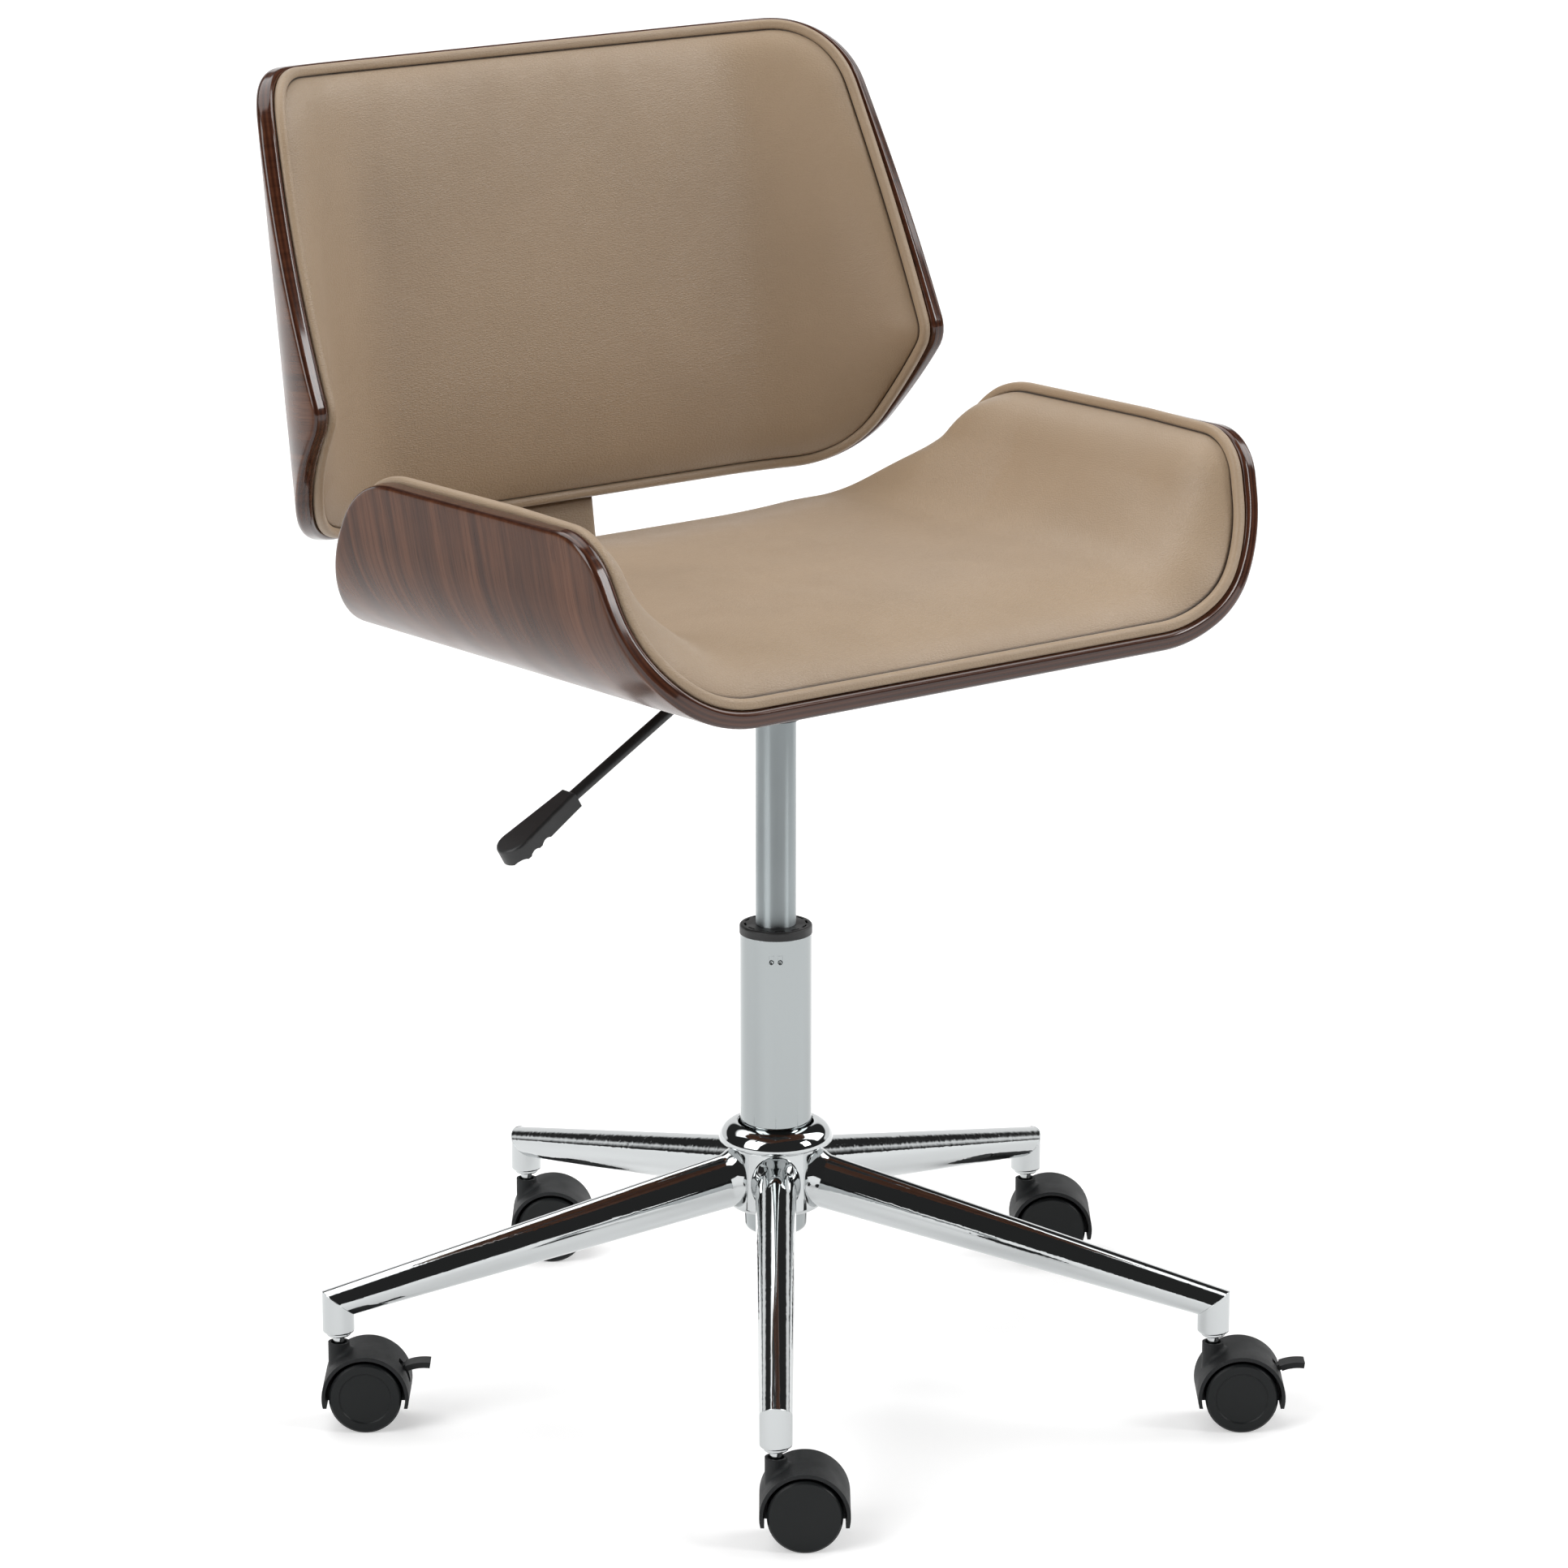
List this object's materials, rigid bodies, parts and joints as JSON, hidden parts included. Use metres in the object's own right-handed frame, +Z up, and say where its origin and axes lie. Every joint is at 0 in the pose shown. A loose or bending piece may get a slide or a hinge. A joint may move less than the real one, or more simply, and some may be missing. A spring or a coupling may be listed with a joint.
{
  "type": "desk chair",
  "caption": "Swivel desk chair with a bent-ply winged seat and eared back, stitched leather pads, a gas-lift column, a chromed star base and twin-wheel casters with toe brakes.",
  "frame": {"origin": "on the floor, where the column axis meets it", "axes": "+Z up along the column, the sitter faces -Y, +X is the sitter's left"},
  "size_m": [0.6786, 0.6529, 0.9131],
  "materials": {
    "walnut_ply": "gloss",
    "taupe_leather": "satin",
    "bright_chrome": "polished",
    "satin_steel": "satin",
    "bush_plastic": "matte",
    "hood_plastic": "matte",
    "wheel_nylon": "satin",
    "lever_plastic": "satin",
    "painted_steel": "satin",
    "plain_steel": "satin"
  },
  "bodies": {
    "base": {"hub_sleeve": "bright_chrome", "hub_collar": "bright_chrome", "caster_sockets": "bright_chrome", "socket_inserts": "bright_chrome", "caster_stems": "bright_chrome", "column_tube": "bright_chrome", "column_bush": "bush_plastic", "thrust_bearing": "plain_steel", "base_arm_1": "bright_chrome", "base_arm_2": "bright_chrome", "base_arm_3": "bright_chrome", "base_arm_4": "bright_chrome", "base_arm_5": "bright_chrome"},
    "rod": {"piston_rod": "plain_steel", "rod_clip": "plain_steel"},
    "seat": {"gas_cylinder": "satin_steel", "taper_socket": "plain_steel", "mount_dish": "painted_steel", "seat_bolts": "plain_steel", "tee_nuts": "plain_steel", "lever_bracket": "painted_steel", "lever_pin": "plain_steel", "seat_shell": "walnut_ply", "seat_pad": "taupe_leather", "back_shell": "walnut_ply", "back_pad": "taupe_leather", "back_bar": "painted_steel", "bar_sleeve": "taupe_leather", "back_bolts": "plain_steel"},
    "lever": {"lever_rod": "painted_steel", "lever_handle": "lever_plastic"},
    "button": {"release_button": "lever_plastic"},
    "caster_1": {"caster_hood_1": "hood_plastic", "caster_axle_1": "plain_steel"},
    "wheel_1_near": {"caster_wheel_1_near": "wheel_nylon"},
    "wheel_1_far": {"caster_wheel_1_far": "wheel_nylon"},
    "caster_2": {"caster_hood_2": "hood_plastic", "caster_axle_2": "plain_steel"},
    "wheel_2_near": {"caster_wheel_2_near": "wheel_nylon"},
    "wheel_2_far": {"caster_wheel_2_far": "wheel_nylon"},
    "brake_2": {"brake_pedal_2": "wheel_nylon"},
    "caster_3": {"caster_hood_3": "hood_plastic", "caster_axle_3": "plain_steel"},
    "wheel_3_near": {"caster_wheel_3_near": "wheel_nylon"},
    "wheel_3_far": {"caster_wheel_3_far": "wheel_nylon"},
    "caster_4": {"caster_hood_4": "hood_plastic", "caster_axle_4": "plain_steel"},
    "wheel_4_near": {"caster_wheel_4_near": "wheel_nylon"},
    "wheel_4_far": {"caster_wheel_4_far": "wheel_nylon"},
    "caster_5": {"caster_hood_5": "hood_plastic", "caster_axle_5": "plain_steel"},
    "wheel_5_near": {"caster_wheel_5_near": "wheel_nylon"},
    "wheel_5_far": {"caster_wheel_5_far": "wheel_nylon"},
    "brake_5": {"brake_pedal_5": "wheel_nylon"}
  },
  "joints": [
    {"name": "seat_swivel", "type": "hinge", "parent": "base", "child": "rod", "pos_m": [0, 0, 0.11], "axis": [0, 0, 1], "continuous": true},
    {"name": "seat_lift", "type": "slide", "parent": "rod", "child": "seat", "axis": [0, 0, 1], "range_m": [-0.105, 0]},
    {"name": "lever_pull", "type": "hinge", "parent": "seat", "child": "lever", "pos_m": [-0.038, 0, 0.527], "axis": [0, 1, 0], "range_deg": [0, 4.5], "stiffness_Nm_per_rad": 3, "springref_deg": -2.86},
    {"name": "button_press", "type": "slide", "parent": "seat", "child": "button", "axis": [0, 0, -1], "range_m": [0, 0.0034]},
    {"name": "caster_swivel_1", "type": "hinge", "parent": "base", "child": "caster_1", "pos_m": [-0.19417, -0.25032, 0.057], "axis": [0, 0, 1], "continuous": true},
    {"name": "wheel_spin_1_near", "type": "hinge", "parent": "caster_1", "child": "wheel_1_near", "pos_m": [-0.17916, -0.26197, 0.025], "axis": [0.6129, 0.7902, 0], "continuous": true},
    {"name": "wheel_spin_1_far", "type": "hinge", "parent": "caster_1", "child": "wheel_1_far", "pos_m": [-0.17916, -0.26197, 0.025], "axis": [0.6129, 0.7902, 0], "continuous": true},
    {"name": "caster_swivel_2", "type": "hinge", "parent": "base", "child": "caster_2", "pos_m": [0.17807, -0.26202, 0.057], "axis": [0, 0, 1], "continuous": true},
    {"name": "wheel_spin_2_near", "type": "hinge", "parent": "caster_2", "child": "wheel_2_near", "pos_m": [0.19308, -0.27366, 0.025], "axis": [0.6129, 0.7902, 0], "continuous": true},
    {"name": "wheel_spin_2_far", "type": "hinge", "parent": "caster_2", "child": "wheel_2_far", "pos_m": [0.19308, -0.27366, 0.025], "axis": [0.6129, 0.7902, 0], "continuous": true},
    {"name": "brake_press_2", "type": "hinge", "parent": "caster_2", "child": "brake_2", "pos_m": [0.20952, -0.28641, 0.037], "axis": [0.6129, 0.7902, 0], "range_deg": [0, 18]},
    {"name": "caster_swivel_3", "type": "hinge", "parent": "base", "child": "caster_3", "pos_m": [0.30422, 0.08838, 0.057], "axis": [0, 0, 1], "continuous": true},
    {"name": "wheel_spin_3_near", "type": "hinge", "parent": "caster_3", "child": "wheel_3_near", "pos_m": [0.31923, 0.07674, 0.025], "axis": [0.6129, 0.7902, 0], "continuous": true},
    {"name": "wheel_spin_3_far", "type": "hinge", "parent": "caster_3", "child": "wheel_3_far", "pos_m": [0.31923, 0.07674, 0.025], "axis": [0.6129, 0.7902, 0], "continuous": true},
    {"name": "caster_swivel_4", "type": "hinge", "parent": "base", "child": "caster_4", "pos_m": [0.00995, 0.31664, 0.057], "axis": [0, 0, 1], "continuous": true},
    {"name": "wheel_spin_4_near", "type": "hinge", "parent": "caster_4", "child": "wheel_4_near", "pos_m": [0.02496, 0.305, 0.025], "axis": [0.6129, 0.7902, 0], "continuous": true},
    {"name": "wheel_spin_4_far", "type": "hinge", "parent": "caster_4", "child": "wheel_4_far", "pos_m": [0.02496, 0.305, 0.025], "axis": [0.6129, 0.7902, 0], "continuous": true},
    {"name": "caster_swivel_5", "type": "hinge", "parent": "base", "child": "caster_5", "pos_m": [-0.29807, 0.10731, 0.057], "axis": [0, 0, 1], "continuous": true},
    {"name": "wheel_spin_5_near", "type": "hinge", "parent": "caster_5", "child": "wheel_5_near", "pos_m": [-0.28306, 0.09567, 0.025], "axis": [0.6129, 0.7902, 0], "continuous": true},
    {"name": "wheel_spin_5_far", "type": "hinge", "parent": "caster_5", "child": "wheel_5_far", "pos_m": [-0.28306, 0.09567, 0.025], "axis": [0.6129, 0.7902, 0], "continuous": true},
    {"name": "brake_press_5", "type": "hinge", "parent": "caster_5", "child": "brake_5", "pos_m": [-0.26662, 0.08292, 0.037], "axis": [0.6129, 0.7902, 0], "range_deg": [0, 18]}
  ],
  "couplings": [
    {"joint": "button_press", "follows": "lever_pull", "m_per_rad": 0.042}
  ]
}
